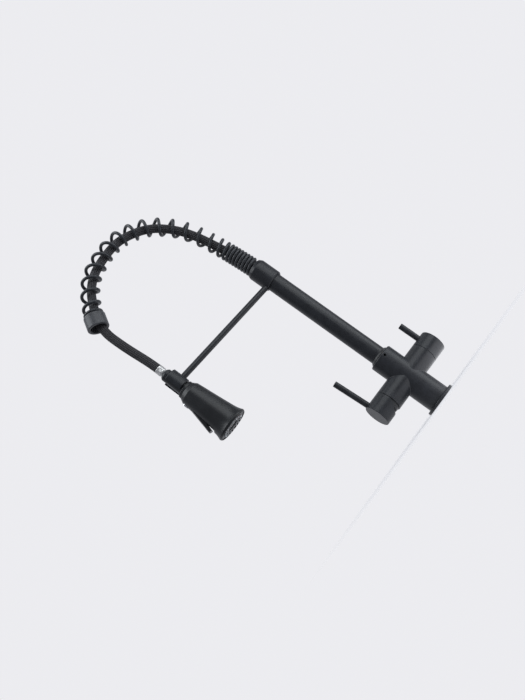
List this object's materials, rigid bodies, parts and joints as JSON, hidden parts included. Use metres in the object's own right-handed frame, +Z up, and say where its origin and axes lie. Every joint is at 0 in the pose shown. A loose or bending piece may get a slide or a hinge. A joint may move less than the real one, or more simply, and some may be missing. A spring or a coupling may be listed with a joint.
{
  "type": "pull down kitchen faucet",
  "caption": "Matte black kitchen faucet: swivel riser with spring arch, side mixer and filtered-water valves, and a pull-down spray head docked in an arm clip.",
  "frame": {"origin": "centre of the base flange's underside, on the riser axis", "axes": "+Z up along the riser, the mixer valve along -X, the filtered-water valve along +X, front of the faucet -Y"},
  "size_m": [0.3156, 0.0992, 0.538],
  "materials": {
    "black_paint": "matte black powder coat",
    "spring_coating": "satin black coated spring wire",
    "ring_coating": "satin dark grey coated ring",
    "swivel_ring_metal": "smooth satin black ring",
    "black_plastic": "satin black moulded plastic",
    "chrome_trim": "bright chrome",
    "crimp_metal": "bright crimped aluminium",
    "hose_braid": "black braided nylon hose",
    "nozzle_silicone": "pale silicone nozzles",
    "rubber_seal": "black seal rubber",
    "brass": "machined brass",
    "white_plastic": "moulded acetal",
    "steel": "stainless steel"
  },
  "bodies": {
    "base": {"valve_body": "black_paint", "base_flange": "black_paint", "base_gasket": "rubber_seal", "mixer_cartridge": "white_plastic", "mixer_cartridge_nut": "brass", "mixer_trim_ring": "black_plastic", "filter_cartridge": "brass", "filter_cartridge_nut": "brass", "swivel_grub_screw": "black_paint"},
    "mixer_turn": {"mixer_carrier": "white_plastic", "mixer_pivot_pin": "steel"},
    "mixer_handle": {"mixer_stem": "steel", "mixer_cap": "black_paint", "mixer_lever": "black_paint", "mixer_cap_screw": "steel"},
    "filter_handle": {"filter_spindle": "brass", "filter_cap": "black_paint", "filter_lever": "black_paint", "filter_cap_screw": "steel"},
    "spout": {"riser_tube": "black_paint", "swivel_spigot": "brass", "swivel_o_rings": "rubber_seal", "swivel_ring": "swivel_ring_metal", "filter_water_tube": "white_plastic", "arm_collar": "black_paint", "collar_grub_screw": "black_paint", "spring_plug": "black_paint", "hose_base_fitting": "steel", "spring": "spring_coating", "spring_end_ring": "ring_coating", "hose": "hose_braid", "holder_arm": "black_paint", "holder_clip": "black_paint"},
    "hose_end": {"hose_ferrule": "crimp_metal", "hose_nut": "black_paint"},
    "spray_head": {"head_neck": "black_plastic", "check_valve": "white_plastic", "head_collar": "black_plastic", "head_shell": "black_plastic", "head_waterway": "white_plastic", "nozzle_mat": "nozzle_silicone", "face_plate": "black_plastic", "trigger_pin": "steel"},
    "trigger": {"trigger": "black_plastic"},
    "stop_button": {"stop_button": "chrome_trim"},
    "diverter": {"diverter_spool": "white_plastic"}
  },
  "joints": [
    {"name": "spout_swivel", "type": "hinge", "parent": "base", "child": "spout", "pos_m": [0, 0, 0], "axis": [0, 0, 1], "continuous": true},
    {"name": "mixer_temperature", "type": "hinge", "parent": "base", "child": "mixer_turn", "pos_m": [0, 0, 0.0605], "axis": [1, 0, 0], "range_deg": [-45, 45]},
    {"name": "mixer_lift", "type": "hinge", "parent": "mixer_turn", "child": "mixer_handle", "pos_m": [-0.048, 0, 0.0605], "axis": [0, -1, 0], "range_deg": [0, 25]},
    {"name": "filter_turn", "type": "hinge", "parent": "base", "child": "filter_handle", "pos_m": [0, 0, 0.0605], "axis": [1, 0, 0], "range_deg": [0, 90]},
    {"name": "head_pull", "type": "slide", "parent": "spout", "child": "hose_end", "axis": [0, 0, -1], "range_m": [0, 0.15], "stiffness_N_per_m": 40, "springref_m": -0.12, "deforming": ["hose"]},
    {"name": "head_turn", "type": "hinge", "parent": "hose_end", "child": "spray_head", "pos_m": [-0.2193, -0.04661, 0.3], "axis": [0, 0, 1], "continuous": true},
    {"name": "trigger_press", "type": "hinge", "parent": "spray_head", "child": "trigger", "pos_m": [-0.23431, -0.04424, 0.2595], "axis": [0.1564, 0.9877, 0], "range_deg": [0, 6.5], "stiffness_Nm_per_rad": 0.5, "springref_deg": -5.73},
    {"name": "button_press", "type": "slide", "parent": "spray_head", "child": "stop_button", "axis": [0.9877, -0.1564, 0], "range_m": [0, 0.0012], "stiffness_N_per_m": 600, "springref_m": -0.001},
    {"name": "spool_slide", "type": "slide", "parent": "spray_head", "child": "diverter", "axis": [0.9877, -0.1564, 0], "range_m": [0, 0.003]}
  ],
  "couplings": [
    {"joint": "spool_slide", "follows": "trigger_press", "m_per_rad": 0.0195}
  ]
}
